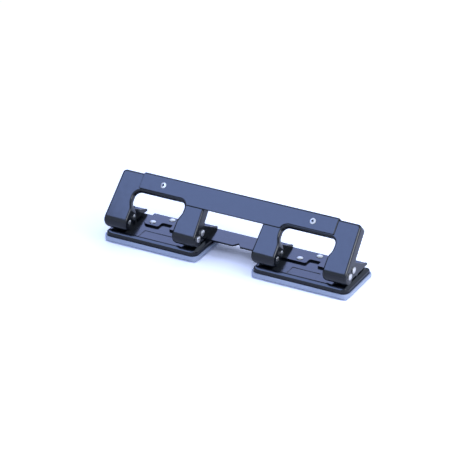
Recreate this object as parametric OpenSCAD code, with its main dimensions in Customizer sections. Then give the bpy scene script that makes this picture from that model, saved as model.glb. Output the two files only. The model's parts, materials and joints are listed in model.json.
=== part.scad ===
// Four-hole desk punch: two punch units on one linking rail, worked together by one handle bar.
// Millimetres, +Z up, X along the length, the paper goes in from -Y. The floor is at Z = 0.

/* [Layout] */
// Distance between neighbouring holes in the paper
hole_pitch = 80; // [80:1:90]
// Distance from the hole centres back to the paper stop
stop_distance = 12; // [11:0.5:13]
// Height of the slot that the paper slides into
paper_slot = 1.9; // [1.6:0.1:2.6]

/* [Base plates] */
// Distance from the outer cheeks to the ends of a base plate
base_edge = 3.1; // [2.5:0.1:5]
// Front to back size of a base plate
base_depth = 52; // [51:0.5:57]
// Radius of a base plate's front corners, seen from above
base_corner = 6.5; // [4:0.5:8]
// Radius of a base plate's rear corners, seen from above
base_rear = 2; // [1.9:0.1:4]
// Height of the base plate's top face above the floor
base_top = 11.8; // [11:0.2:15]
// Sheet thickness of the base plates
base_sheet = 1.5; // [1.2:0.1:1.8]
// How far the top face stands in from the sides of a base plate
shoulder_in = 3; // [1.5:0.1:3]
// Height of the sloping shoulder around the top face
shoulder_h = 2.4; // [2:0.1:3]
// Length of the sunk panel between the legs
panel_length = 29; // [20:1:36]
// Distance from the front edge to the sunk panel
panel_front = 4.2; // [4:0.1:6]
// Front to back size of the sunk panel
panel_depth = 13.1; // [8:0.1:14]
// How far the panel lies below the top face
panel_sink = 0.5; // [0.3:0.1:1]

/* [Chip trays] */
// How far a tray stands out around its base plate
tray_lip = 1.85; // [1.5:0.05:3]
// Height of a tray's rim above the floor
tray_height = 6; // [5:0.2:7]
// Thickness of a tray's floor
tray_floor = 1.6; // [1.2:0.1:2.4]
// Size of the slope around the bottom of a tray
tray_slope = 2.2; // [1:0.1:2.4]
// Clearance between a tray's wall and the base plate's skirt
tray_clear = 0.15; // [0.1:0.05:0.3]
// Clearance under the base plate's skirt
tray_seat = 0.05; // [0.02:0.01:0.1]

/* [Lever] */
// Distance from the base plate's front edge back to the pivot
pivot_back = 6.2; // [5.5:0.1:8]
// Height of the pivot above the base plate's top face
pivot_rise = 11; // [10.8:0.1:13]
// Distance from the pivot to the drive pin
drive_radius = 9.1; // [8.8:0.1:10]
// Angle of the drive pin above the pivot at rest
drive_angle = 18.5; // [17:0.5:20]
// Angle that the lever turns through in a full press
press_angle = 36; // [32:1:38]
// Slope of the lever's face at rest
lever_tilt = 44.6; // [42:0.2:46]
// Radius of the lever's nose around the pivot
nose_radius = 8.4; // [8.2:0.1:9]
// Angle that the nose is bent round beyond the face
nose_bend = 120; // [100:5:120]
// Sheet thickness of the levers
lever_sheet = 1.3; // [1:0.1:1.5]
// Distance from the pivot up the face to the lever's top edge
lever_reach = 49.3; // [46:0.1:56]
// How far each side of a lever leans in between the pivot and its top edge
side_lean = 2; // [1:0.1:3]
// Clearance between a lever's flanges and the outer cheeks inside them
cheek_clear = 0.2; // [0.1:0.05:0.5]
// Radius of a lever's top corners
lever_corner = 4; // [3:0.5:8]
// Depth of the flanges around a lever
flange_depth = 11.5; // [9:0.5:12]
// Distance up the face where the flange starts to deepen towards the drive pin
flange_turn = 19; // [16:0.5:24]
// Flange radius around the drive pin
boss_radius = 3.9; // [3.6:0.1:4.5]
// Widest width of a lever's window
window_width = 56; // [54:0.2:58]
// Distance from the lever's top edge down to the window
head_band = 18.4; // [17.5:0.1:20]
// Radius of the window's top corners
window_corner = 6.5; // [5:0.5:7]
// Depth of the rim that is turned in around a window
rim_depth = 6; // [4:0.1:7]
// Distance up the face where the rim starts to deepen towards the drive pin
rim_turn = 18; // [16:0.5:20]
// Width between a lever's two legs
leg_gap = 50; // [49:0.2:52]
// Radius of the corners at the front ends of the legs
leg_round = 5; // [3:0.5:5.5]
// Distance up the face where the legs start to narrow
flare_low = 9.5; // [9.5:0.5:12]
// Length of the window's straight sides between the curves and the top corners
window_straight = 2.7; // [1:0.1:5]

/* [Handle bar] */
// How far the bar reaches past the middle of each lever
bar_over = 24.4; // [18:0.2:26]
// Sheet thickness of the bar
bar_sheet = 1.3; // [1:0.1:2]
// Distance from the levers' top edge down to the bar's lower edge between them
bar_drop = 21.9; // [18:0.1:23]
// Depth of the lip that wraps over the levers' top edges
bar_lip = 10; // [6:0.5:14]
// Clearance between the lip and the levers
bar_clear = 0.05; // [0.05:0.01:0.2]
// Distance that the bar's edge stands back from the windows
bar_set = 2.2; // [1:0.1:2.6]
// Radius of the bar's lower end corners
bar_round = 2; // [1:0.5:4]

/* [Punch brackets] */
// Sheet thickness of the bracket cheeks
cheek_sheet = 1.6; // [1.2:0.1:1.8]
// Distance from the punch to the cheek face on the window side
cheek_in = 8.5; // [7.5:0.1:9]
// Room between the clips and the outer cheeks
clip_room = 0.5; // [0.3:0.1:1]
// Radius of the cheeks around the pivot
cheek_round = 6.2; // [5:0.1:6.4]
// Distance from the front edge back to the crest of the cheeks
crest_back = 24; // [22:0.5:26]
// Height of the crest above the base plate's top face
crest_rise = 16.7; // [16:0.1:17.5]
// Distance from the front edge back to the bend in the cheeks' sloping edge
bend_back = 38; // [34:0.5:40]
// Height of that bend above the base plate's top face
bend_rise = 9.4; // [8:0.2:10]
// Distance from the base plate's rear edge to the end of the cheeks
tail_set = 0.4; // [0.2:0.1:4]
// How far the end of the cheeks leans forward at its top
tail_lean = 1.3; // [0:0.1:2]
// Height of the cheeks' end above the base plate's top face
tail_rise = 4.5; // [4:0.1:6]
// Distance from the front edge back to the bracket's web
web_back = 5.8; // [5.6:0.1:7]
// Sheet thickness of the web above the paper slot
web_sheet = 1.5; // [1.2:0.1:1.6]
// Height of the punch collar above the web
collar_rise = 1.7; // [1:0.1:1.7]
// Wall thickness of the punch collar
collar_wall = 0.65; // [0.5:0.05:0.8]
// Front to back length of the feet that stand on the base plate
foot_length = 3.5; // [3:0.1:4]
// Front to back length of the tabs staked through the base plate
tab_length = 2.5; // [2:0.1:2.6]
// Height of the staked tab ends
tab_head = 1; // [0.6:0.1:1.2]
// Clearance around the tabs in the base plate
tab_clear = 0.05; // [0.02:0.01:0.15]

/* [Punches] */
// Diameter of the punched hole
punch_d = 6; // [5.5:0.1:6.2]
// Clearance around a punch in its collar and die
punch_clear = 0.05; // [0.02:0.01:0.1]
// How far the resting punch tip stands above the paper slot
tip_lift = 0.2; // [0.1:0.1:0.4]
// Depth of the notch that gives the tip two cutting points
tip_notch = 1.3; // [0.8:0.1:1.6]
// Height of the punch above the drive pin's axis
punch_crown = 3.2; // [2.6:0.1:3.4]
// Clearance of the drive pin in the punch, above and below
slot_clear = 0.1; // [0.08:0.01:0.2]
// Thickness of the clips on the punches
clip_sheet = 0.8; // [0.6:0.1:0.9]
// Diameter of the clips
clip_d = 9.4; // [9:0.1:9.8]
// Depth of the groove that a clip sits in
clip_groove = 0.6; // [0.4:0.1:0.8]
// Clearance of a clip in its groove
clip_clear = 0.05; // [0.02:0.01:0.1]
// Width of a clip's mouth as a share of its inner diameter
clip_mouth = 0.9; // [0.7:0.05:0.95]
// Distance from a clip up to the drive pin's hole
clip_land = 0.35; // [0.3:0.05:0.5]

/* [Return springs] */
// Wire diameter of the springs
wire_d = 0.5; // [0.4:0.05:0.5]
// Diameter of the springs at the middle of the wire
spring_d = 8.4; // [8.2:0.1:8.8]
// Turns in a spring
spring_turns = 3; // [2:1:3]
// Gap left at both ends of a spring
spring_clear = 0.02; // [0.01:0.01:0.05]

/* [Pins and screws] */
// Diameter of the pivot axles
axle_d = 4; // [3.5:0.1:4.4]
// Clearance around an axle in the bracket
axle_clear = 0.05; // [0.02:0.01:0.1]
// Diameter of the drive pins
drive_d = 3; // [2.8:0.1:3.2]
// Clearance around a drive pin in the bracket's slots
drive_clear = 0.2; // [0.15:0.05:0.3]
// Clearance of pins, rivets and screws in the sheets they hold
hold_clear = 0.02; // [0.01:0.01:0.05]
// Diameter of the pin heads, which are on the outer side of each leg
pin_head_d = 6.3; // [5.5:0.1:6.6]
// Height of the pin heads
pin_head = 2.3; // [0.8:0.1:2.6]
// How much wider a pin's riveted end is than the pin
pin_swell = 0.8; // [0.4:0.1:1.2]
// Height of the riveted ends, which are on the window side of each leg
pin_end = 0.7; // [0.5:0.1:1]
// Diameter of the flat seats under the pin heads
seat_d = 6.9; // [6.7:0.1:7.1]
// Depth of the flat seats on the window side
seat_cut = 0.3; // [0.3:0.05:0.4]
// Depth of the flat seats on the outer side where they are shallowest
seat_bite = 0.05; // [0.05:0.05:0.15]
// Outer diameter of the spacers on the axles
spacer_d = 7; // [6:0.1:8]
// Play at each end of a spacer and of the bracket's hub
side_play = 0.12; // [0.08:0.02:0.15]
// Diameter of the hub around the axle on the bracket
hub_d = 8; // [7:0.1:9]
// Diameter of the bar screws
screw_d = 3.5; // [3:0.1:4]
// Diameter of the bar screws' heads
screw_head_d = 6.1; // [5.5:0.1:7]
// Height of the bar screws' heads
screw_head = 1; // [0.9:0.1:2]
// How far a bar screw stands out of its nut
screw_over = 0.5; // [0.2:0.1:1]
// Length of each arm of the cross recess, tip to tip
recess_l = 3; // [2:0.1:3.4]
// Width of the arms of the cross recess
recess_w = 1.3; // [0.8:0.1:1.5]
// Depth of the cross recess
recess_h = 0.9; // [0.6:0.1:1.2]
// Distance from the levers' top edge down to the bar screws
screw_set = 8.1; // [7:0.1:8.5]
// Width across the flats of the bar nuts
nut_flats = 6; // [5.5:0.1:7]
// Height of the bar nuts
nut_h = 2.6; // [2:0.1:3.2]

/* [Rail] */
// How far the rail reaches past the middle of each base plate
rail_over = 22.7; // [20:0.1:23]
// Distance from the base plates' rear edge to the rail's rear edge
rail_set = 1.5; // [1:0.1:2.4]
// Clearance between the rail and the brackets above it
rail_clear = 0.1; // [0.05:0.05:0.2]
// Chamfer at the rail's front corners
rail_chamfer = 3; // [1:0.5:4]
// Half width of the centre mark
mark_half = 4; // [2:0.5:6]
// Depth of the centre mark
mark_deep = 5.7; // [3:0.1:8]
// Half width of the notch over each base plate
notch_half = 6; // [5:0.5:7]
// Depth of that notch
notch_deep = 9; // [6:0.5:11]
// Radius of the notch's corners
notch_round = 2; // [1:0.5:2.5]
// Clearance around the feet that the rail passes
foot_clear = 0.3; // [0.2:0.1:0.5]
// Distance of the side rivets from the middle of the base plate
rivet_side = 15; // [13.5:0.5:17]
// Distance of the side rivets behind the paper stop
rivet_row = 6; // [5:0.5:8]
// Distance of the middle rivet from the base plate's rear edge
rivet_edge = 6.9; // [6.5:0.1:8]
// Diameter of the rivets
rivet_d = 3.5; // [3:0.1:4]
// Diameter of the rivet heads
rivet_head_d = 6.3; // [5.5:0.1:6.6]
// Height of the rivet heads
rivet_head = 1.2; // [0.8:0.1:1.5]
// Diameter of the rivets' closed ends under the base plate
rivet_tail_d = 5; // [4.6:0.1:5.6]
// Height of the rivets' closed ends
rivet_tail = 0.8; // [0.5:0.1:1.2]

/* [Hidden] */
$fn = 48;

// Paint and metal colours
paint = [0.12, 0.15, 0.22];
steel = [0.80, 0.81, 0.83];
tray_blue = [0.68, 0.75, 0.90];
spring_steel = [0.55, 0.56, 0.58];

// The front edge of the base plates, set so that the whole punch is centred on Y = 0
front_y = -(min(pivot_back - nose_radius, -tray_lip) + base_depth + tray_lip) / 2;
pivot_y = front_y + pivot_back;
pivot_z = base_top + pivot_rise;

// The drive pin at rest, and the punch at the middle of the pin's sweep
drive_z = pivot_z + drive_radius * sin(drive_angle);
sweep_cos = min(cos(drive_angle), cos(press_angle - drive_angle));
punch_y = pivot_y + drive_radius * (1 + sweep_cos) / 2;
stroke = drive_radius * (sin(drive_angle) + sin(press_angle - drive_angle));
drive_sweep = drive_radius * (1 - sweep_cos);
stop_y = punch_y + stop_distance;

// How far a blending arc stands past the edges that it joins, so that they cross at a clear angle
blend = 0.03;

// How far a cut runs past the faces that it opens
over = 1;

// Heights above the base plate
slot_top = base_top + paper_slot;
web_top = slot_top + web_sheet;
rail_sheet = paper_slot - rail_clear;
base_under = base_top - base_sheet;
clip_top = drive_z - drive_d / 2 - slot_clear - clip_land;
clip_low = clip_top - clip_sheet;

// The brackets, and the base plates that they stand on
cheek_out = clip_d / 2 + clip_room + cheek_sheet;
base_length = hole_pitch + 2 * (cheek_out + base_edge);
tail_back = base_depth - tail_set;

// The shoulder's slope, and the slope inside it, which clears the staked tabs
shoulder = [min(shoulder_in, base_edge), shoulder_h];
shoulder_room = base_edge - tab_head / 2 - tab_clear - base_sheet;
shoulder_under = [shoulder_room, shoulder_room * shoulder[1] / shoulder[0]];

// A domed head's straight rim as a share of its height, and the shares of its width that the dome's height
// and the radius of the flat on the crown come to
head_rim = 0.35;
head_dome = 0.13;
head_flat = 0.12;

// The lever seen along its face: s is the distance up the face from the pivot
taper = side_lean / lever_reach;
taper_angle = atan(taper);
cheek_far = norm([bend_back - pivot_back, bend_rise - pivot_rise]);
flange_room = hole_pitch / 2 + cheek_out + cheek_clear;
lever_width = 2 * (flange_room + lever_sheet / cos(taper_angle) + taper * cheek_far);
below = 2.5 * nose_radius;
window_top = lever_reach - head_band;
screw_rise = lever_reach - screw_set;
bar_low = lever_reach - bar_drop;
flare_rise = window_top - window_corner - window_straight - flare_low;
flare_in = (window_width - leg_gap) / 2;
flare_angle = 2 * atan(flare_in / flare_rise);
flare_r = flare_rise / (2 * sin(flare_angle));
flare_top = flare_low + flare_rise;

// The drive pin in the lever's own frame
pin_turn = drive_angle - lever_tilt;
pin_at = drive_radius * [cos(pin_turn), sin(pin_turn)];

// Seats of the pin heads, measured from the punch axis, outwards positive
axle_seat_out = lever_half(seat_d / 2) - seat_bite - hole_pitch / 2;
drive_seat_out = lever_half(pin_at[0] + seat_d / 2) - seat_bite - hole_pitch / 2;
seat_in = leg_gap / 2 + seat_cut - hole_pitch / 2;
seat_room = seat_d - pin_head_d;
flange_in = leg_gap / 2 + lever_sheet - hole_pitch / 2;
hub_out = lever_half(hub_d / 2) - lever_sheet / cos(taper_angle) - side_play - hole_pitch / 2;

// Half the lever's width at a distance s up its face
function lever_half(s) = lever_width / 2 - taper * s;

// Legs 1 to 4 from left to right, and which way is outwards on each
function leg_x(i) = hole_pitch * (i - 2.5);
function leg_out(i) = i % 2 == 0 ? 1 : -1;

// Puts a leg's pieces in place, with +X outwards from the window
module on_leg(i) {
  translate([leg_x(i), 0, 0])
    mirror([leg_out(i) < 0 ? 1 : 0, 0, 0])
      children();
}

// Puts the lever's own frame in place: Y up the face, Z out of it, the pivot at the origin
module on_lever() {
  translate([0, pivot_y, pivot_z])
    rotate([lever_tilt, 0, 0])
      children();
}

// Runs a drawing made in Y and Z along X
module along_x(x0, length) {
  translate([x0, 0, 0])
    rotate([90, 0, 90])
      linear_extrude(height = length)
        children();
}

// Runs a drawing made in X and Z along Y
module along_y(y0, length) {
  translate([0, y0 + length, 0])
    rotate([90, 0, 0])
      linear_extrude(height = length)
        children();
}

// A round bar along X
module bar_x(d, x0, length) {
  translate([x0, 0, 0])
    rotate([0, 90, 0])
      cylinder(d = d, h = length);
}

// A rectangle from its front edge back, with its front corners rounded by r and its rear ones by rear
module rounded(length, depth, r, rear) {
  half = length / 2;
  translate([-half, r])
    square([length, depth - r - rear]);
  translate([-half + r, 0])
    square([length - 2 * r, depth - rear]);
  translate([-half + rear, r])
    square([length - 2 * rear, depth - r]);
  for (m = [-1, 1]) {
    translate([m * (half - r), r])
      circle(r);
    translate([m * (half - rear), depth - rear])
      circle(rear);
  }
}

// The section of a block w wide under a face at height 0, whose edges slope in by s[0] over the height s[1]
module sloped_section(w, s) {
  half = w / 2;
  far = 2 * w;
  polygon([
    [-half + 2 * s[0], s[1]],
    [half - 2 * s[0], s[1]],
    [half + s[0], -2 * s[1]],
    [half + s[0], -far],
    [-half - s[0], -far],
    [-half - s[0], -2 * s[1]]
  ]);
}

// A block under a face at height 0, centred in X and Y, with sloping edges s and corners grown by grow
module sloped_block(length, depth, height, grow, s) {
  intersection() {
    translate([0, -depth / 2, -height])
      linear_extrude(height = height)
        rounded(length, depth, base_corner + grow, base_rear + grow);
    along_x(-length, 2 * length)
      sloped_section(depth, s);
    along_y(-depth, 2 * depth)
      sloped_section(length, s);
  }
}

// A low domed head, d wide and h high, with a small flat on its crown
module domed_head(d, h) {
  dome = min(h * (1 - head_rim), d * head_dome);
  flat = d * head_flat;
  drop = (d * d / 4 - flat * flat + dome * dome) / (2 * dome);
  intersection() {
    cylinder(d = d, h = h);
    translate([0, 0, h - drop])
      sphere(norm([flat, drop]));
  }
}

// The lever's outline on its face, set in by d
module lever_outline(d) {
  top = lever_reach - d;
  r = lever_corner - d;
  half = lever_width / 2 - d / cos(taper_angle);
  cx = half - taper * (top - r) - r / cos(taper_angle);
  cy = top - r;
  polygon([
    [-half - taper * below, -below],
    [half + taper * below, -below],
    [cx + r * cos(taper_angle), cy + r * sin(taper_angle)],
    [cx, top],
    [-cx, top],
    [-cx - r * cos(taper_angle), cy + r * sin(taper_angle)]
  ]);
  for (x = [-cx, cx])
    translate([x, cy])
      circle(r + blend);
}

// The window between the legs on the lever's face, grown by d
module window_outline(d) {
  half = window_width / 2;
  mid = flare_top - (flare_r + d) * sin(flare_angle);
  translate([-half + window_corner, flare_low])
    square([2 * (half - window_corner), window_top + d - flare_low]);
  translate([-half - d, flare_top])
    square([2 * (half + d), window_top - window_corner - flare_top]);
  translate([-leg_gap / 2 - d, -below - over])
    square([leg_gap + 2 * d, below + over + flare_top]);
  for (m = [-1, 1]) {
    translate([m * (half - window_corner), window_top - window_corner])
      circle(window_corner + d + blend);
    intersection() {
      translate([m * (half - flare_r), flare_top])
        circle(flare_r + d + blend);
      translate([-window_width, flare_low])
        square([2 * window_width, flare_rise + window_straight]);
    }
  }
  difference() {
    translate([-leg_gap / 2 - flare_r, flare_low])
      square([leg_gap + 2 * flare_r, mid - flare_low]);
    for (m = [-1, 1])
      translate([m * (leg_gap / 2 + flare_r), flare_low])
        circle(flare_r - d + blend);
  }
}

// What rounds the front ends of the legs on the lever's face, set in by d
module leg_corners(d) {
  cy = leg_round - nose_radius - over;
  far = leg_round + over;
  for (m = [0, 1])
    mirror([m, 0]) {
      translate([leg_gap / 2 + leg_round, cy])
        difference() {
          translate([-far, -below])
            square([far, below]);
          circle(leg_round - d + blend);
        }
      translate([lever_half(cy) - leg_round, cy])
        difference() {
          translate([0, -below])
            square([far, below]);
          circle(leg_round - d + blend);
        }
    }
}

// The lever's outside seen from its end
module lever_side() {
  rear = nose_radius - flange_depth;
  under = pin_turn - acos((nose_radius - boss_radius) / drive_radius);
  turn = [flange_turn, rear] - pin_at;
  behind = atan2(turn[1], turn[0]) - acos(boss_radius / norm(turn));
  translate([0, rear])
    square([lever_reach, flange_depth]);
  circle(nose_radius);
  translate(pin_at)
    circle(boss_radius);
  polygon([
    [0, 0],
    (nose_radius - blend) * [cos(under), sin(under)],
    pin_at + (boss_radius - blend) * [cos(under), sin(under)],
    pin_at
  ]);
  polygon([
    [0, 0],
    pin_at,
    pin_at + (boss_radius - blend) * [cos(behind), sin(behind)],
    [flange_turn, rear],
    [flange_turn, 0]
  ]);
}

// The hollow behind the lever's face, seen from its end, open to the back and below
module hollow_side() {
  far = 3 * lever_reach;
  bend = 90 + nose_bend;
  translate([0, -far])
    square([lever_reach, far + nose_radius - lever_sheet]);
  circle(nose_radius - lever_sheet);
  polygon([
    [0, 0],
    far * [cos(bend), sin(bend)],
    far * [cos((bend + 270) / 2), 2 * sin((bend + 270) / 2)],
    [0, -far]
  ]);
}

// What is cut away behind the window's rim, seen from the lever's end
module rim_side() {
  far = 3 * lever_reach;
  start = [rim_turn, nose_radius - rim_depth];
  turn = start - pin_at;
  behind = atan2(turn[1], turn[0]) - acos((boss_radius - blend) / norm(turn));
  polygon([
    start,
    start + far * [sin(behind), -cos(behind)],
    [far, -far],
    [far, start[1]]
  ]);
}

// One pressed lever, in its own frame
module lever() {
  half = lever_width;
  difference() {
    intersection() {
      translate([0, 0, -2 * nose_radius])
        linear_extrude(height = 4 * nose_radius)
          lever_outline(0);
      along_x(-half, 2 * half)
        lever_side();
    }
    translate([0, 0, -2 * nose_radius - over])
      linear_extrude(height = 4 * nose_radius + 2 * over) {
        window_outline(0);
        leg_corners(0);
      }
    intersection() {
      translate([0, 0, -2 * nose_radius - over])
        linear_extrude(height = 4 * nose_radius)
          difference() {
            lever_outline(lever_sheet);
            window_outline(lever_sheet);
            leg_corners(lever_sheet);
          }
      along_x(-half, 2 * half)
        hollow_side();
    }
    intersection() {
      translate([0, 0, -2 * nose_radius - over])
        linear_extrude(height = 4 * nose_radius)
          window_outline(2 * lever_sheet);
      along_x(-half, 2 * half)
        rim_side();
    }
    bar_x(axle_d + 2 * hold_clear, -half, 2 * half);
    translate([0, pin_at[0], pin_at[1]])
      bar_x(drive_d + 2 * hold_clear, -half, 2 * half);
    for (m = [0, 1])
      mirror([m, 0, 0]) {
        bar_x(seat_d, axle_seat_out + hole_pitch / 2, half);
        translate([0, pin_at[0], pin_at[1]])
          bar_x(seat_d, drive_seat_out + hole_pitch / 2, half);
      }
    bar_x(axle_d + pin_swell + seat_room, -leg_gap / 2 - seat_cut, leg_gap + 2 * seat_cut);
    translate([0, pin_at[0], pin_at[1]])
      bar_x(drive_d + pin_swell + seat_room, -leg_gap / 2 - seat_cut, leg_gap + 2 * seat_cut);
    translate([0, screw_rise, 0])
      cylinder(d = screw_d + 2 * hold_clear, h = 2 * nose_radius);
  }
}

// The handle bar's outline on the levers' faces
module bar_outline() {
  half = hole_pitch + bar_over;
  top = lever_reach + bar_clear + bar_sheet;
  reach = bar_over - window_width / 2 + window_corner;
  edge = sqrt(pow(window_corner + bar_set, 2) - pow(max(reach, 0), 2));
  end_low = window_top - window_corner + edge;
  difference() {
    translate([-half, bar_low])
      square([2 * half, top - bar_low]);
    for (k = [-1, 1]) {
      translate([k * hole_pitch, 0])
        window_outline(bar_set);
      translate([k * half, 0])
        difference() {
          translate([-bar_round, 0])
            square([2 * bar_round, end_low + bar_round]);
          translate([-k * bar_round, end_low + bar_round])
            circle(bar_round);
          translate([k > 0 ? -2 * bar_round : 0, 0])
            translate([k > 0 ? 0 : bar_round, 0])
              square([bar_round, end_low + bar_round]);
        }
      translate([k * hole_pitch, screw_rise])
        circle(d = screw_d + 2 * hold_clear);
    }
  }
}

// A round pin along X with a domed head at x1 and a riveted end at x0
module headed_pin(d, x0, x1) {
  bar_x(d, x0, x1 - x0);
  translate([x1, 0, 0])
    rotate([0, 90, 0])
      domed_head(pin_head_d, pin_head);
  translate([x0, 0, 0])
    rotate([0, -90, 0])
      domed_head(d + pin_swell, pin_end);
}

// One base plate: a pressed pan with a sloping shoulder, open below
module base_plate(k) {
  skirt = tray_floor + tray_seat;
  in = 2 * base_sheet;
  middle = front_y + base_depth / 2;
  translate([k * hole_pitch, 0, 0])
    difference() {
      translate([0, middle, base_top])
        sloped_block(base_length, base_depth, base_top - skirt, 0, shoulder);
      difference() {
        translate([0, middle, base_under])
          sloped_block(base_length - in, base_depth - in, base_under, -base_sheet, shoulder_under);
        translate([-(panel_length + in) / 2, front_y + panel_front - base_sheet, base_under - panel_sink])
          cube([panel_length + in, panel_depth + in, base_sheet]);
      }
      translate([-panel_length / 2, front_y + panel_front, base_top - panel_sink])
        cube([panel_length, panel_depth, panel_sink + over]);
      for (m = [0, 1])
        mirror([m, 0, 0])
          translate([hole_pitch / 2, 0, 0]) {
            translate([0, punch_y, 0])
              cylinder(d = punch_d + 2 * punch_clear, h = base_top + over);
            for (x = [-cheek_in, cheek_out - cheek_sheet])
              translate([x - tab_clear, tab_y() - tab_clear, base_under - over])
                cube([cheek_sheet + 2 * tab_clear, tab_length + 2 * tab_clear, base_sheet + 2 * over]);
          }
      for (p = rivet_places())
        translate([p[0], p[1], base_under - over])
          cylinder(d = rivet_d + 2 * hold_clear, h = base_sheet + 2 * over);
    }
}

// The front of the tabs, centred under the feet
function tab_y() = stop_y + (foot_length - tab_length) / 2;

// The three rivets of one base plate
function rivet_places() = [
  [-rivet_side, stop_y + rivet_row],
  [0, front_y + base_depth - rivet_edge],
  [rivet_side, stop_y + rivet_row]
];

// A cheek of the punch bracket, seen from its end
module cheek_side() {
  translate([pivot_y, pivot_z])
    circle(cheek_round);
  polygon([
    [front_y + web_back, slot_top],
    [stop_y, slot_top],
    [stop_y, base_top],
    [stop_y + foot_length, base_top],
    [stop_y + foot_length, slot_top],
    [front_y + tail_back, slot_top],
    [front_y + tail_back - tail_lean, base_top + tail_rise],
    [front_y + bend_back, base_top + bend_rise],
    [front_y + crest_back, base_top + crest_rise],
    [pivot_y, pivot_z + cheek_round]
  ]);
  translate([tab_y(), base_under])
    square([tab_length, base_sheet + over]);
}

// The curved slot that the drive pin moves in, around the pivot
module drive_slot() {
  half = drive_d / 2 + drive_clear;
  far = 2 * drive_radius;
  low = drive_angle - press_angle;
  intersection() {
    difference() {
      circle(drive_radius + half);
      circle(drive_radius - half);
    }
    polygon([[0, 0], far * [cos(low), sin(low)], far * [cos(drive_angle), sin(drive_angle)]]);
  }
  for (a = [low, drive_angle])
    translate(drive_radius * [cos(a), sin(a)])
      circle(half + blend);
}

// One punch bracket: two cheeks, the web above the paper slot and the punch collar
module punch_bracket(i) {
  wide = cheek_in + cheek_out;
  on_leg(i)
    difference() {
      union() {
        for (x = [-cheek_in, cheek_out - cheek_sheet])
          along_x(x, cheek_sheet)
            cheek_side();
        translate([-cheek_in, front_y + web_back, slot_top])
          cube([wide, tail_back - web_back, web_sheet]);
        translate([0, punch_y, slot_top])
          cylinder(d = punch_d + 2 * punch_clear + 2 * collar_wall, h = web_sheet + collar_rise);
        translate([0, pivot_y, pivot_z])
          bar_x(hub_d, cheek_out - cheek_sheet, hub_out - cheek_out + cheek_sheet);
        for (x = [-cheek_in, cheek_out - cheek_sheet])
          translate([x - tab_head / 2, tab_y() - tab_head / 2, base_under - tab_head])
            cube([cheek_sheet + tab_head, tab_length + tab_head, tab_head]);
      }
      translate([0, punch_y, slot_top - over])
        cylinder(d = punch_d + 2 * punch_clear, h = web_sheet + collar_rise + 2 * over);
      translate([0, pivot_y, pivot_z]) {
        bar_x(axle_d + 2 * axle_clear, -2 * cheek_in, 4 * cheek_in);
        along_x(-2 * cheek_in, 4 * cheek_in)
          drive_slot();
      }
    }
}

// The notch in the rail over one base plate, from the paper stop back
module rail_notch() {
  r = notch_round;
  translate([-notch_half, -over])
    square([2 * notch_half, notch_deep - r + over]);
  translate([-notch_half + r, 0])
    square([2 * (notch_half - r), notch_deep]);
  for (m = [-1, 1]) {
    translate([m * (notch_half - r), notch_deep - r])
      circle(r);
    difference() {
      translate([m > 0 ? 0 : -notch_half - r, -over])
        square([notch_half + r, r + over]);
      translate([m * (notch_half + r), r])
        circle(r);
    }
  }
}

// The rail seen from above
module rail_outline() {
  half = hole_pitch + rail_over;
  c = rail_chamfer;
  difference() {
    polygon([
      [-half, stop_y + c],
      [-half + c, stop_y],
      [half - c, stop_y],
      [half, stop_y + c],
      [half, front_y + base_depth - rail_set],
      [-half, front_y + base_depth - rail_set]
    ]);
    polygon([
      [-mark_half * (1 + over / mark_deep), stop_y - over],
      [mark_half * (1 + over / mark_deep), stop_y - over],
      [0, stop_y + mark_deep]
    ]);
    for (k = [-1, 1]) {
      translate([k * hole_pitch, stop_y])
        rail_notch();
      for (p = rivet_places())
        translate([k * hole_pitch + p[0], p[1]])
          circle(d = rivet_d + 2 * hold_clear);
    }
    for (m = [0, 1])
      mirror([m, 0])
        translate([hole_pitch / 2, 0])
          for (x = [-cheek_out, cheek_in - cheek_sheet])
            translate([x - foot_clear, stop_y - over])
              square([cheek_sheet + 2 * foot_clear, foot_length + foot_clear + over]);
  }
}

// One rail rivet
module rail_rivet(k, n) {
  at = rivet_places()[n];
  top = base_top + rail_sheet;
  translate([k * hole_pitch + at[0], at[1], 0]) {
    translate([0, 0, base_under])
      cylinder(d = rivet_d, h = top - base_under);
    translate([0, 0, base_under - rivet_tail])
      cylinder(d = rivet_tail_d, h = rivet_tail);
    translate([0, 0, top])
      domed_head(rivet_head_d, rivet_head);
  }
}

// One return spring: a single six-sided tube wound in a helix
spring_low = web_top + spring_clear;
spring_high = clip_low - spring_clear;
spring_pitch = (spring_high - spring_low - wire_d) / spring_turns;
rings = 12;
sides = 6;

// A point on ring i of the wire, at place j around the wire
function coil_point(i, j) =
  let (a = 360 * i / rings, b = (180 + 360 * j) / sides)
  let (r = spring_d / 2 + wire_d / 2 * cos(b))
  [r * cos(a), r * sin(a), spring_low + wire_d / 2 + spring_pitch * i / rings + wire_d / 2 * sin(b)];

module return_spring(i) {
  last = spring_turns * rings;
  ring_ends = [
    [for (j = [0 : sides - 1]) j],
    [for (j = [sides - 1 : -1 : 0]) last * sides + j]
  ];
  sides_up = [
    for (n = [0 : last - 1])
      for (j = [0 : sides - 1])
        [n * sides + j, (n + 1) * sides + j, n * sides + (j + 1) % sides]
  ];
  sides_down = [
    for (n = [0 : last - 1])
      for (j = [0 : sides - 1])
        [n * sides + (j + 1) % sides, (n + 1) * sides + j, (n + 1) * sides + (j + 1) % sides]
  ];
  translate([leg_x(i), punch_y, 0])
    polyhedron(
      points = [for (n = [0 : last]) for (j = [0 : sides - 1]) coil_point(n, j)],
      faces = concat(ring_ends, sides_up, sides_down)
    );
}
echo(spring_gap_between_turns = spring_pitch - wire_d);

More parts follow.
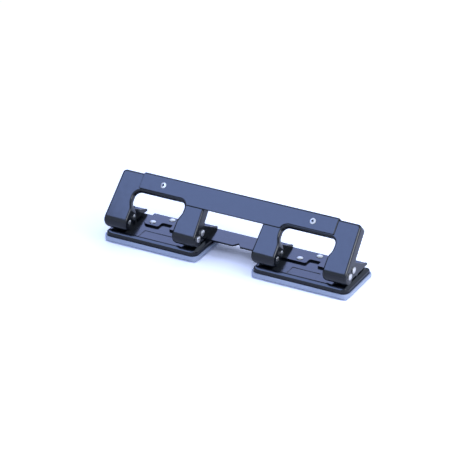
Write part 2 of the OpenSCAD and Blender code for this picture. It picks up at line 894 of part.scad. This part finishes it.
// One bar screw: a low round head with a cross recess
module bar_screw(k) {
  seat = nose_radius + bar_sheet;
  on_lever()
    translate([k * hole_pitch, screw_rise, 0])
      difference() {
        union() {
          translate([0, 0, nose_radius - lever_sheet - nut_h - screw_over])
            cylinder(d = screw_d, h = bar_sheet + lever_sheet + nut_h + screw_over);
          translate([0, 0, seat])
            domed_head(screw_head_d, screw_head);
        }
        for (a = [0, 90])
          rotate([0, 0, a])
            translate([-recess_l / 2, -recess_w / 2, seat + screw_head - recess_h])
              cube([recess_l, recess_w, recess_h + over]);
      }
}

// One bar nut, behind the lever's face
module bar_nut(k) {
  on_lever()
    translate([k * hole_pitch, screw_rise, nose_radius - lever_sheet - nut_h])
      difference() {
        cylinder(d = nut_flats / cos(30), h = nut_h, $fn = 6);
        translate([0, 0, -over])
          cylinder(d = screw_d + 2 * hold_clear, h = nut_h + 2 * over);
      }
}

// One pivot axle, held in the lever's flanges
module pivot_axle(i) {
  on_leg(i)
    translate([0, pivot_y, pivot_z])
      headed_pin(axle_d, seat_in, axle_seat_out);
}

// One spacer tube on a pivot axle
module pivot_spacer(i) {
  from = flange_in + side_play;
  length = -cheek_in - side_play - from;
  on_leg(i)
    translate([0, pivot_y, pivot_z])
      difference() {
        bar_x(spacer_d, from, length);
        bar_x(axle_d + 2 * hold_clear, from - over, length + 2 * over);
      }
}

// One drive pin, held in the lever's flanges
module drive_pin(i) {
  on_leg(i)
    translate([0, pivot_y + drive_radius * cos(drive_angle), drive_z])
      headed_pin(drive_d, seat_in, drive_seat_out);
}

// One punch: notched tip, clip groove and a cross hole for the drive pin
module punch(i) {
  tip = slot_top + tip_lift;
  wide = drive_d / 2 + slot_clear;
  sweep = drive_sweep / 2;
  translate([leg_x(i), punch_y, 0])
    difference() {
      translate([0, 0, tip])
        cylinder(d = punch_d, h = drive_z + punch_crown - tip);
      along_x(-punch_d, 2 * punch_d)
        polygon([[-punch_d / 2, tip - blend], [punch_d / 2, tip - blend], [0, tip + tip_notch]]);
      difference() {
        translate([0, 0, clip_low - clip_clear])
          cylinder(d = 2 * punch_d, h = clip_sheet + 2 * clip_clear);
        translate([0, 0, clip_low - over])
          cylinder(d = punch_d - 2 * clip_groove, h = clip_sheet + 2 * over);
      }
      for (y = [-sweep, sweep])
        translate([0, y, drive_z])
          bar_x(2 * wide, -punch_d, 2 * punch_d);
      translate([-punch_d, -sweep, drive_z - wide])
        cube([2 * punch_d, 2 * sweep, 2 * wide]);
    }
}

// One clip: an open ring in the punch's groove, which the spring bears on
module punch_clip(i) {
  inner = punch_d - 2 * clip_groove + 2 * clip_clear;
  translate([leg_x(i), punch_y, clip_low])
    difference() {
      cylinder(d = clip_d, h = clip_sheet);
      translate([0, 0, -over])
        cylinder(d = inner, h = clip_sheet + 2 * over);
      translate([-inner * clip_mouth / 2, 0, -over])
        cube([inner * clip_mouth, clip_d, clip_sheet + 2 * over]);
    }
}

// One chip tray: a shallow pan around the base plate's skirt, drawn in at the bottom
module chip_tray(k) {
  wall = tray_lip - tray_clear;
  length = base_length + 2 * tray_lip;
  depth = base_depth + 2 * tray_lip;
  translate([k * hole_pitch, front_y + base_depth / 2, 0])
    difference() {
      mirror([0, 0, 1])
        sloped_block(length, depth, tray_height, tray_lip, [tray_slope, tray_slope]);
      translate([0, wall - depth / 2, tray_floor])
        linear_extrude(height = tray_height)
          rounded(length - 2 * wall, depth - 2 * wall, base_corner + tray_clear, base_rear + tray_clear);
    }
}

module base_plate_left() color(paint) base_plate(-1);
module base_plate_right() color(paint) base_plate(1);
module punch_bracket_1() color(paint) punch_bracket(1);
module punch_bracket_2() color(paint) punch_bracket(2);
module punch_bracket_3() color(paint) punch_bracket(3);
module punch_bracket_4() color(paint) punch_bracket(4);
module link_rail() color(paint)
  translate([0, 0, base_top])
    linear_extrude(height = rail_sheet)
      rail_outline();
module rail_rivet_1() color(steel) rail_rivet(-1, 0);
module rail_rivet_2() color(steel) rail_rivet(-1, 1);
module rail_rivet_3() color(steel) rail_rivet(-1, 2);
module rail_rivet_4() color(steel) rail_rivet(1, 0);
module rail_rivet_5() color(steel) rail_rivet(1, 1);
module rail_rivet_6() color(steel) rail_rivet(1, 2);
module return_spring_1() color(spring_steel) return_spring(1);
module return_spring_2() color(spring_steel) return_spring(2);
module return_spring_3() color(spring_steel) return_spring(3);
module return_spring_4() color(spring_steel) return_spring(4);
module lever_left() color(paint) on_lever() translate([-hole_pitch, 0, 0]) lever();
module lever_right() color(paint) on_lever() translate([hole_pitch, 0, 0]) lever();
module handle_bar() color(paint) on_lever() {
  half = hole_pitch + bar_over;
  translate([0, 0, nose_radius])
    linear_extrude(height = bar_sheet)
      bar_outline();
  translate([-half, lever_reach + bar_clear, nose_radius + bar_sheet - bar_lip])
    cube([2 * half, bar_sheet, bar_lip]);
}
module bar_screw_left() color(steel) bar_screw(-1);
module bar_screw_right() color(steel) bar_screw(1);
module bar_nut_left() color(steel) bar_nut(-1);
module bar_nut_right() color(steel) bar_nut(1);
module pivot_axle_1() color(steel) pivot_axle(1);
module pivot_axle_2() color(steel) pivot_axle(2);
module pivot_axle_3() color(steel) pivot_axle(3);
module pivot_axle_4() color(steel) pivot_axle(4);
module pivot_spacer_1() color(steel) pivot_spacer(1);
module pivot_spacer_2() color(steel) pivot_spacer(2);
module pivot_spacer_3() color(steel) pivot_spacer(3);
module pivot_spacer_4() color(steel) pivot_spacer(4);
module drive_pin_1() color(steel) drive_pin(1);
module drive_pin_2() color(steel) drive_pin(2);
module drive_pin_3() color(steel) drive_pin(3);
module drive_pin_4() color(steel) drive_pin(4);
module punch_1() color(steel) punch(1);
module punch_2() color(steel) punch(2);
module punch_3() color(steel) punch(3);
module punch_4() color(steel) punch(4);
module punch_clip_1() color(steel) punch_clip(1);
module punch_clip_2() color(steel) punch_clip(2);
module punch_clip_3() color(steel) punch_clip(3);
module punch_clip_4() color(steel) punch_clip(4);
module chip_tray_left() color(tray_blue) chip_tray(-1);
module chip_tray_right() color(tray_blue) chip_tray(1);

base_plate_left();
base_plate_right();
punch_bracket_1();
punch_bracket_2();
punch_bracket_3();
punch_bracket_4();
link_rail();
rail_rivet_1();
rail_rivet_2();
rail_rivet_3();
rail_rivet_4();
rail_rivet_5();
rail_rivet_6();
return_spring_1();
return_spring_2();
return_spring_3();
return_spring_4();
lever_left();
lever_right();
handle_bar();
bar_screw_left();
bar_screw_right();
bar_nut_left();
bar_nut_right();
pivot_axle_1();
pivot_axle_2();
pivot_axle_3();
pivot_axle_4();
pivot_spacer_1();
pivot_spacer_2();
pivot_spacer_3();
pivot_spacer_4();
drive_pin_1();
drive_pin_2();
drive_pin_3();
drive_pin_4();
punch_1();
punch_2();
punch_3();
punch_4();
punch_clip_1();
punch_clip_2();
punch_clip_3();
punch_clip_4();
chip_tray_left();
chip_tray_right();
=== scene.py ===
"""Four-hole desk punch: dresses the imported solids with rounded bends, coil springs and finishes."""

import json
import math

import bmesh
import bpy
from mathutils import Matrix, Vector


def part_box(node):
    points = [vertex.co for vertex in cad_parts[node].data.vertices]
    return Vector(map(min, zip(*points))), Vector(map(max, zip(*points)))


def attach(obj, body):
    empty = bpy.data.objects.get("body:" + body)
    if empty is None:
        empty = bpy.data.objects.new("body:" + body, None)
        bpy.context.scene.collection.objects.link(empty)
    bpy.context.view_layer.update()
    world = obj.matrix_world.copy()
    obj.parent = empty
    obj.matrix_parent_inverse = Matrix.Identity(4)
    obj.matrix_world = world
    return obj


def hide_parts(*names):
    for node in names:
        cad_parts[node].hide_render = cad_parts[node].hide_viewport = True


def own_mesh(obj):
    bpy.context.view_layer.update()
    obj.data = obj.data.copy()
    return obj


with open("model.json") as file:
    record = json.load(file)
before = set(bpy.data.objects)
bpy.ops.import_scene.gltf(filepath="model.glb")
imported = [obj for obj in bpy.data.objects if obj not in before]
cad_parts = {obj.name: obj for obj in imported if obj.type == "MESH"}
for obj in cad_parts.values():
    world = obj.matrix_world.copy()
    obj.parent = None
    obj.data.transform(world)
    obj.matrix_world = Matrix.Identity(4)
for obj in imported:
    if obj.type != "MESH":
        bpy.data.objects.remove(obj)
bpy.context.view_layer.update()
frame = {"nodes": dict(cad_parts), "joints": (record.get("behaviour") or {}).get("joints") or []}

MM = 0.001
SIDES = ("left", "right")
nodes = frame["nodes"]

# How close a point has to be to count as on a flat, on a round surface, or as another point
flat_touch = 0.01 * MM
round_touch = 0.02 * MM
same_point = 0.002 * MM

# Faces that turn less than flat_turn are one flat, edges that turn more than sharp_turn are eased,
# and the shading breaks past crease_turn
flat_turn = math.radians(0.3)
sharp_turn = math.radians(32)
crease_turn = math.radians(34)

# The lever's own frame: the pivot, the slope of its face, and the radius of its nose
pivot = Vector(next(j for j in frame["joints"] if j["name"] == "lever_press")["pos_m"])
face_slope = math.radians(44.6)
nose_radius = 8.4 * MM
nose_end = math.radians(120) - 0.001


def linear(hex_colour):
    """An sRGB hex colour as the linear RGBA that Blender's sockets take."""
    parts = [int(hex_colour[i:i + 2], 16) / 255 for i in (1, 3, 5)]
    return [c / 12.92 if c <= 0.04045 else ((c + 0.055) / 1.055) ** 2.4 for c in parts] + [1.0]


def add(tree, kind, sockets=None, **settings):
    """Adds a node to a tree, with its settings, and fills or links its sockets."""
    node = tree.nodes.new(kind)
    for key, value in settings.items():
        setattr(node, key, value)
    for key, value in (sockets or {}).items():
        if isinstance(value, bpy.types.NodeSocket):
            tree.links.new(value, node.inputs[key])
        else:
            node.inputs[key].default_value = value
    return node


def finish(name):
    """An empty material with its output: (material, tree, output, place on the object in metres)."""
    material = bpy.data.materials.new(name)
    material.use_nodes = True
    tree = material.node_tree
    tree.nodes.clear()
    output = add(tree, "ShaderNodeOutputMaterial")
    place = add(tree, "ShaderNodeTexCoord").outputs["Object"]
    return material, tree, output, place


def stoved_enamel():
    """Blue-black enamel, sprayed on pressed steel and baked: a dark, glossy skin that shows the lamps."""
    material, tree, output, place = finish("stoved_enamel")
    drift_size, haze_size, peel_size = 30 * MM, 5 * MM, 1.4 * MM
    drift = add(tree, "ShaderNodeTexNoise", {"Vector": place, "Scale": 1 / drift_size, "Detail": 2.0})
    colour = add(tree, "ShaderNodeMix", {
        "Factor": drift.outputs["Fac"],
        "A": linear("#0D1117"),
        "B": linear("#11161D"),
    }, data_type="RGBA")
    haze = add(tree, "ShaderNodeTexNoise", {"Vector": place, "Scale": 1 / haze_size, "Detail": 3.0})
    gloss = add(tree, "ShaderNodeMapRange", {
        "Value": haze.outputs["Fac"], "From Min": 0.3, "From Max": 0.7, "To Min": 0.15, "To Max": 0.21,
    })
    peel = add(tree, "ShaderNodeTexNoise", {"Vector": place, "Scale": 1 / peel_size, "Detail": 1.0})
    ripple = add(tree, "ShaderNodeBump", {
        "Height": peel.outputs["Fac"], "Strength": 0.15, "Distance": 0.01 * MM,
    })
    paint = add(tree, "ShaderNodeBsdfPrincipled", {
        "Base Color": colour.outputs["Result"],
        "Roughness": gloss.outputs["Result"],
        "IOR": 1.5,
        "Normal": ripple.outputs["Normal"],
    })
    tree.links.new(paint.outputs["BSDF"], output.inputs["Surface"])
    return material


def zinc_plated_steel():
    """Cold-headed steel, bright zinc plated: almost white, uneven in its shine, with painted shade darkening
    its recesses.
    """
    material, tree, output, place = finish("zinc_plated_steel")
    bloom_size, recess_reach = 0.8 * MM, 4 * MM
    bloom = add(tree, "ShaderNodeTexNoise", {"Vector": place, "Scale": 1 / bloom_size, "Detail": 3.0})
    colour = add(tree, "ShaderNodeMix", {
        "Factor": bloom.outputs["Fac"],
        "A": linear("#E2DFD9"),
        "B": linear("#F1EFEA"),
    }, data_type="RGBA")
    gloss = add(tree, "ShaderNodeMapRange", {
        "Value": bloom.outputs["Fac"], "From Min": 0.3, "From Max": 0.7, "To Min": 0.26, "To Max": 0.38,
    })
    dents = add(tree, "ShaderNodeBump", {
        "Height": bloom.outputs["Fac"], "Strength": 0.15, "Distance": 0.01 * MM,
    })
    # Painted shade: where ambient occlusion finds the surface sheltered, as in the screw recesses, the colour
    # is pulled to near black in place of the shade that falls there
    shelter = add(tree, "ShaderNodeAmbientOcclusion", {"Distance": recess_reach}, samples=16, only_local=True)
    painted_recess_shade = add(tree, "ShaderNodeMapRange", {
        "Value": shelter.outputs["AO"], "From Min": 0.9, "From Max": 1.0, "To Min": 0.0, "To Max": 1.0,
    })
    recess_shaded_colour = add(tree, "ShaderNodeMix", {
        "Factor": painted_recess_shade.outputs["Result"], "A": linear("#08090A"), "B": colour.outputs["Result"],
    }, data_type="RGBA")
    steel = add(tree, "ShaderNodeBsdfPrincipled", {
        "Base Color": recess_shaded_colour.outputs["Result"],
        "Metallic": 1.0,
        "Roughness": gloss.outputs["Result"],
        "Normal": dents.outputs["Normal"],
    })
    tree.links.new(steel.outputs["BSDF"], output.inputs["Surface"])
    return material


def drawn_spring_wire():
    """Drawn spring steel wire with an oil film: darker than the plated pieces, with a tight shine."""
    material, tree, output, place = finish("drawn_spring_wire")
    film_size = 0.6 * MM
    film = add(tree, "ShaderNodeTexNoise", {"Vector": place, "Scale": 1 / film_size, "Detail": 2.0})
    colour = add(tree, "ShaderNodeMix", {
        "Factor": film.outputs["Fac"],
        "A": linear("#7C7F86"),
        "B": linear("#9A9CA1"),
    }, data_type="RGBA")
    wire = add(tree, "ShaderNodeBsdfPrincipled", {
        "Base Color": colour.outputs["Result"],
        "Metallic": 1.0,
        "Roughness": 0.28,
    })
    tree.links.new(wire.outputs["BSDF"], output.inputs["Surface"])
    return material


def moulded_polypropylene():
    """Pale blue polypropylene, injection moulded: a soft, waxy skin with a fine spark-eroded grain."""
    material, tree, output, place = finish("moulded_polypropylene")
    # The real grain is under 0.1 mm, too fine to show here, so it is drawn coarser
    flow_size, grain_size = 20 * MM, 0.5 * MM
    flow = add(tree, "ShaderNodeTexNoise", {"Vector": place, "Scale": 1 / flow_size, "Detail": 2.0})
    colour = add(tree, "ShaderNodeMix", {
        "Factor": flow.outputs["Fac"],
        "A": linear("#B8C4D8"),
        "B": linear("#BFCADC"),
    }, data_type="RGBA")
    grain = add(tree, "ShaderNodeTexNoise", {"Vector": place, "Scale": 1 / grain_size, "Detail": 2.0})
    pits = add(tree, "ShaderNodeBump", {
        "Height": grain.outputs["Fac"], "Strength": 0.3, "Distance": 0.02 * MM,
    })
    plastic = add(tree, "ShaderNodeBsdfPrincipled", {
        "Base Color": colour.outputs["Result"],
        "Roughness": 0.45,
        "IOR": 1.49,
        "Normal": pits.outputs["Normal"],
    })
    tree.links.new(plastic.outputs["BSDF"], output.inputs["Surface"])
    return material


enamel = stoved_enamel()
plated_steel = zinc_plated_steel()
spring_wire = drawn_spring_wire()
tray_plastic = moulded_polypropylene()


def on_face(point):
    """A point in the lever's own frame: (across, up the face from the pivot, out of the face)."""
    away = point - pivot
    up = away.y * math.cos(face_slope) + away.z * math.sin(face_slope)
    out = away.z * math.cos(face_slope) - away.y * math.sin(face_slope)
    return away.x, up, out


screw_middles = [sum(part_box("bar_screw_" + side), Vector()) / 2 for side in SIDES]
screw_hole_reach = 6 * MM


def at_screw_hole(point):
    """True at the rim of a hole that a bar screw goes through."""
    return any((point - middle).length < screw_hole_reach for middle in screw_middles)


def on_lever_skin(point):
    """True on the lever's outer skin: its sloping face, and the nose that the face runs into."""
    across, up, out = on_face(point)
    if up >= -0.001 * MM:
        return abs(out - nose_radius) < flat_touch
    turned = math.atan2(-up, out)
    return abs(math.hypot(up, out) - nose_radius) < round_touch and turned < nose_end


def lever_bend(edge):
    """Edges where the lever's skin is folded down into its flanges."""
    a, b = (on_lever_skin(v.co) for v in edge.verts)
    if not (a or b) or at_screw_hole(edge.verts[0].co):
        return False
    ends = [on_face(v.co) for v in edge.verts]
    past = [math.atan2(-up, out) > nose_end for across, up, out in ends]
    return (a and b) or (any(past) and not all(past) and on_nose(edge))


def on_nose(edge):
    """True if both ends of an edge lie on the nose's round surface."""
    for v in edge.verts:
        across, up, out = on_face(v.co)
        if abs(math.hypot(up, out) - nose_radius) > round_touch:
            return False
    return True


def bar_bend(edge):
    """The edge where the handle bar is folded over the levers' top edges."""
    top, front = bar_limits()
    ends = [on_face(v.co) for v in edge.verts]
    return all(abs(up - top) < flat_touch and abs(out - front) < flat_touch for across, up, out in ends)


def bar_limits():
    """How far the handle bar reaches up the face and out of it."""
    places = [on_face(v.co) for v in nodes["handle_bar"].data.vertices]
    return max(p[1] for p in places), max(p[2] for p in places)


def faces_out(edge, middle):
    """True if an edge's upright face looks away from the middle of its piece."""
    upright = min(edge.link_faces, key=lambda f: abs(f.normal.z))
    to_edge = upright.calc_center_median() - middle
    return upright.normal.x * to_edge.x + upright.normal.y * to_edge.y > 0


def bar_rim(edge):
    """Edges around the handle bar's outer skin: its front face, its fold and the top of its lip."""
    top, front = bar_limits()
    if at_screw_hole(edge.verts[0].co):
        return False
    for v in edge.verts:
        across, up, out = on_face(v.co)
        to_fold = math.hypot(max(up - top + bar_fold, 0), max(out - front + bar_fold, 0))
        flat = abs(out - front) < flat_touch or abs(up - top) < flat_touch
        if not flat and abs(to_fold - bar_fold) > fold_touch:
            return False
    return True


def at_height(edge, height):
    """True if an edge lies level at a height."""
    return all(abs(v.co.z - height) < flat_touch for v in edge.verts)


# Where a base plate's features lie: in from its outline, out from its middle and back from its front,
# and down from its top
outline_in = 4.6 * MM
panel_out, panel_back = 34 * MM, 20 * MM
shoulder_from, shoulder_to = 0.5 * MM, 4 * MM


def on_outline(edge, low, high):
    """True along the outline of a base plate, away from its holes."""
    insets = [
        min(v.co.x - low.x, high.x - v.co.x, v.co.y - low.y, high.y - v.co.y) for v in edge.verts
    ]
    return max(insets) < outline_in and faces_out(edge, (low + high) / 2)


def at_panel(edge, low, high):
    """True around the sunk panel at the front of a base plate, away from the punch and rivet holes."""
    middle = (low + high) / 2
    near = all(abs(v.co.x - middle.x) < panel_out and v.co.y < low.y + panel_back for v in edge.verts)
    return near and not on_outline(edge, low, high)


def on_shoulder(edge, top):
    """True within the base plate's shoulder, below its top face and above its plain skirt."""
    return all(top - shoulder_to < v.co.z < top - shoulder_from for v in edge.verts)


def any_edge(edge):
    """For the last, finest easing: every sharp edge that is left."""
    return True


def eased(name, node, body, material, bends, merge_flats=False):
    """A copy of a CAD node with its edges rounded: each bend is (which edges, radius, steps)."""
    form = bmesh.new()
    form.from_mesh(nodes[node].data)
    bmesh.ops.remove_doubles(form, verts=form.verts, dist=same_point)
    if merge_flats:
        bmesh.ops.dissolve_limit(form, angle_limit=flat_turn, verts=form.verts, edges=form.edges)
    for chosen, radius, steps in bends:
        sharp = [
            e for e in form.edges
            if e.is_manifold and e.calc_face_angle_signed(0) > sharp_turn and chosen(e)
        ]
        bmesh.ops.bevel(form, geom=sharp, offset=radius, offset_type="OFFSET", segments=steps,
                        profile=0.5, affect="EDGES", clamp_overlap=False, loop_slide=False)
    mesh = bpy.data.meshes.new(name)
    form.to_mesh(mesh)
    form.free()
    mesh.materials.clear()
    mesh.materials.append(material)
    mesh.shade_smooth()
    mesh.set_sharp_from_angle(angle=crease_turn)
    piece = bpy.data.objects.new(name, mesh)
    bpy.context.scene.collection.objects.link(piece)
    even = piece.modifiers.new("even_shading", "WEIGHTED_NORMAL")
    even.keep_sharp = True
    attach(piece, body)
    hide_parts(node)


def finished_node(node, material, ease):
    """Gives a CAD node its finish and takes the sharpness off its edges."""
    piece = nodes[node]
    piece.data.materials.clear()
    piece.data.materials.append(material)
    weld = piece.modifiers.new("weld", "WELD")
    weld.merge_threshold = same_point
    flat = piece.modifiers.new("flats", "DECIMATE")
    flat.decimate_type = "DISSOLVE"
    flat.angle_limit = flat_turn
    edge = piece.modifiers.new("eased_edges", "BEVEL")
    edge.width = ease
    edge.segments = 2
    edge.limit_method = "ANGLE"
    edge.angle_limit = crease_turn
    edge.use_clamp_overlap = True
    even = piece.modifiers.new("even_shading", "WEIGHTED_NORMAL")
    even.keep_sharp = True
    piece.data.shade_smooth()


# Bend radii and eased edges of the pressed sheets and trays
lever_fold = 2.2 * MM
bar_fold = 2.2 * MM
fold_touch = 0.05 * MM
bar_edge = 0.7 * MM
shoulder_top = 0.8 * MM
shoulder_foot = 1.0 * MM
panel_fold = 0.45 * MM
cut_edge = 0.14 * MM
tray_rim = 0.35 * MM

for side in SIDES:
    eased("pressed_lever_" + side, "lever_" + side, "lever", enamel, [
        (lever_bend, lever_fold, 5),
        (any_edge, cut_edge, 1),
    ])

    pan_low, pan_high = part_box("base_plate_" + side)
    pan_top = pan_high.z
    eased("pressed_base_" + side, "base_plate_" + side, "frame", enamel, [
        (lambda e: at_height(e, pan_top) and on_outline(e, pan_low, pan_high), shoulder_top, 3),
        (lambda e: at_height(e, pan_top) and at_panel(e, pan_low, pan_high), panel_fold, 2),
        (lambda e: on_shoulder(e, pan_top) and on_outline(e, pan_low, pan_high), shoulder_foot, 4),
        (any_edge, cut_edge, 1),
    ])

    eased("moulded_tray_" + side, "chip_tray_" + side, "tray_" + side, tray_plastic, [
        (any_edge, tray_rim, 2),
    ], merge_flats=True)

eased("folded_bar", "handle_bar", "lever", enamel, [
    (bar_bend, bar_fold, 3),
    (bar_rim, bar_edge, 3),
    (any_edge, cut_edge, 1),
], merge_flats=True)

# Eased edges of the pieces that keep their CAD form
pin_ease = 0.1 * MM
punch_ease = 0.06 * MM
rivet_ease = 0.12 * MM
screw_ease = 0.08 * MM
rail_ease = 0.16 * MM

for n in range(1, 5):
    finished_node(f"punch_bracket_{n}", enamel, cut_edge)
    finished_node(f"pivot_axle_{n}", plated_steel, pin_ease)
    finished_node(f"drive_pin_{n}", plated_steel, pin_ease)
    finished_node(f"pivot_spacer_{n}", plated_steel, pin_ease)
    finished_node(f"punch_{n}", plated_steel, punch_ease)
    finished_node(f"punch_clip_{n}", plated_steel, punch_ease)
for n in range(1, 7):
    finished_node(f"rail_rivet_{n}", plated_steel, rivet_ease)
for side in SIDES:
    finished_node("bar_screw_" + side, plated_steel, screw_ease)
    finished_node("bar_nut_" + side, plated_steel, pin_ease)
finished_node("link_rail", enamel, rail_ease)

# The return springs: round wire, wound open in the middle and closer towards its ends
wire_radius = 0.25 * MM
coil_radius = 4.2 * MM
coil_turns = 3
end_closing = 0.6
steps_per_turn, steps_around = 40, 10


def coil_spring(n):
    """The return spring of punch n: a wound wire that fills the spring part's box."""
    low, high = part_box(f"return_spring_{n}")
    middle = (low + high) / 2
    start, rise = low.z + wire_radius, high.z - low.z - 2 * wire_radius
    steps, around = steps_per_turn * coil_turns, steps_around
    rings, skin = [], []
    for i in range(steps + 1):
        t = i / steps
        turn = 2 * math.pi * coil_turns * t
        lift = t - math.sin(2 * math.pi * t) / (2 * math.pi) * end_closing
        out = Vector((math.cos(turn), math.sin(turn), 0))
        centre = Vector((middle.x, middle.y, start + rise * lift)) + out * coil_radius
        for j in range(around):
            a = 2 * math.pi * j / around
            rings.append(centre + (out * math.cos(a) + Vector((0, 0, 1)) * math.sin(a)) * wire_radius)
    for i in range(steps):
        for j in range(around):
            k = (j + 1) % around
            skin.append((i * around + j, (i + 1) * around + j, (i + 1) * around + k, i * around + k))
    skin.append(tuple(reversed(range(steps * around, (steps + 1) * around))))
    skin.append(tuple(range(around)))
    mesh = bpy.data.meshes.new(f"coil_spring_{n}")
    mesh.from_pydata(rings, [], skin)
    mesh.materials.append(spring_wire)
    mesh.shade_smooth()
    form = bmesh.new()
    form.from_mesh(mesh)
    bmesh.ops.recalc_face_normals(form, faces=form.faces)
    form.to_mesh(mesh)
    form.free()
    piece = bpy.data.objects.new(f"coil_spring_{n}", mesh)
    bpy.context.scene.collection.objects.link(piece)
    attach(piece, "frame")
    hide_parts(f"return_spring_{n}")
    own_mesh(piece)


for n in range(1, 5):
    coil_spring(n)


def floor_paper():
    """White seamless paper: matt, and a little brighter to the camera, so that it runs out to white."""
    material, tree, output, _ = finish("seamless_paper")
    sheet = add(tree, "ShaderNodeBsdfDiffuse", {"Color": linear("#F6F6F7")})
    lift = add(tree, "ShaderNodeBsdfDiffuse", {"Color": linear("#DADADA")})
    both = add(tree, "ShaderNodeAddShader", {0: sheet.outputs[0], 1: lift.outputs[0]})
    seen = add(tree, "ShaderNodeLightPath").outputs["Is Camera Ray"]
    surface = add(tree, "ShaderNodeMixShader", {0: seen, 1: sheet.outputs[0], 2: both.outputs[0]})
    tree.links.new(surface.outputs[0], output.inputs["Surface"])
    return material


floor_half = 6.0
floor_mesh = bpy.data.meshes.new("studio_floor")
floor_mesh.from_pydata(
    [(-floor_half, -floor_half, 0), (floor_half, -floor_half, 0),
     (floor_half, floor_half, 0), (-floor_half, floor_half, 0)],
    [], [(0, 1, 2, 3)])
floor_mesh.materials.append(floor_paper())
floor = bpy.data.objects.new("studio_floor", floor_mesh)
bpy.context.scene.collection.objects.link(floor)

scene = bpy.context.scene
scene.view_settings.view_transform = "Standard"

# The room: white to the camera, white with a dark left side in reflections, and a blue fill from above
world = bpy.data.worlds.new("studio")
scene.world = world
world.use_nodes = True
air = world.node_tree
air.nodes.clear()
ray = add(air, "ShaderNodeLightPath")
mirrored = add(air, "ShaderNodeMath", {
    0: ray.outputs["Is Glossy Ray"], 1: ray.outputs["Is Transmission Ray"],
}, operation="MAXIMUM")
shown = add(air, "ShaderNodeMath", {
    0: ray.outputs["Is Camera Ray"], 1: mirrored.outputs[0],
}, operation="MAXIMUM")
heading = add(air, "ShaderNodeSeparateXYZ", {0: add(air, "ShaderNodeTexCoord").outputs["Generated"]})
dome = add(air, "ShaderNodeMapRange", {
    "Value": heading.outputs["Z"], "To Min": 0.0, "To Max": 1.55,
}, interpolation_type="SMOOTHSTEP")
fill = add(air, "ShaderNodeBackground", {"Color": linear("#C8D6FF"), "Strength": dome.outputs["Result"]})
tint = add(air, "ShaderNodeMix", {
    "Factor": ray.outputs["Is Camera Ray"], "A": linear("#D6E5FF"), "B": linear("#FFFFFF"),
}, data_type="RGBA")
unlit_side = add(air, "ShaderNodeMapRange", {
    "Value": heading.outputs["X"], "From Min": -0.95, "From Max": -0.5, "To Min": 0.08, "To Max": 1.0,
})
glow = add(air, "ShaderNodeMath", {
    0: unlit_side.outputs["Result"], 1: ray.outputs["Is Camera Ray"],
}, operation="MAXIMUM")
white = add(air, "ShaderNodeBackground", {"Color": tint.outputs["Result"], "Strength": glow.outputs[0]})
either = add(air, "ShaderNodeMixShader", {0: shown.outputs[0], 1: fill.outputs[0], 2: white.outputs[0]})
add(air, "ShaderNodeOutputWorld", {"Surface": either.outputs[0]})


def soft_light(name, place, aim, width, depth, radiance, colour):
    """A rectangular softbox at a place, facing an aim, with the brightness that its face shows."""
    lamp = bpy.data.lights.new(name, "AREA")
    lamp.shape = "RECTANGLE"
    lamp.size, lamp.size_y = width, depth
    lamp.energy = radiance * math.pi * width * depth
    lamp.color = linear(colour)[:3]
    piece = bpy.data.objects.new(name, lamp)
    piece.location = place
    piece.rotation_mode = "QUATERNION"
    piece.rotation_quaternion = (Vector(aim) - Vector(place)).to_track_quat("-Z", "Y")
    piece.visible_camera = False
    bpy.context.scene.collection.objects.link(piece)
    return piece


# A key softbox close by on the right, and three cards that only the shine of the pieces shows:
# place and aim, width and depth (metres), brightness, colour
punch_middle = (0, 0, 0.03)
soft_light("key_softbox", (0.36, -0.03, 0.17), (0.1, 0, 0.01), 0.2, 0.2, 3.0, "#F3F6FF")
for card in (
    soft_light("front_card", (-0.24, -0.275, 0.585), (0.02, 0, 0.05), 0.46, 0.34, 6.3, "#98B4FF"),
    soft_light("right_card", (0.5, -0.12, 0.33), punch_middle, 0.22, 0.22, 4.5, "#E8EFFF"),
    soft_light("rear_card", (-0.58, 1.09, 0.66), punch_middle, 0.9, 0.5, 2.2, "#93A9FF"),
):
    card.visible_diffuse = False

# The camera, fitted to the photograph's view of the base plates, levers, bar and pins
camera_turn, camera_rise = math.radians(27.97), math.radians(27.47)
camera_aim, camera_away = Vector((-0.33 * MM, -0.75 * MM, 26.1 * MM)), 2484.4 * MM
back = Vector((
    math.sin(camera_turn) * math.cos(camera_rise),
    -math.cos(camera_turn) * math.cos(camera_rise),
    math.sin(camera_rise),
))
lens = bpy.data.cameras.new("camera")
lens.sensor_width, lens.lens = 36, 199.9
lens.clip_start, lens.clip_end = 0.05, 50
camera = bpy.data.objects.new("camera", lens)
camera.location = camera_aim + back * camera_away
camera.rotation_mode = "QUATERNION"
camera.rotation_quaternion = (-back).to_track_quat("-Z", "Y")
bpy.context.scene.collection.objects.link(camera)
scene.camera = camera
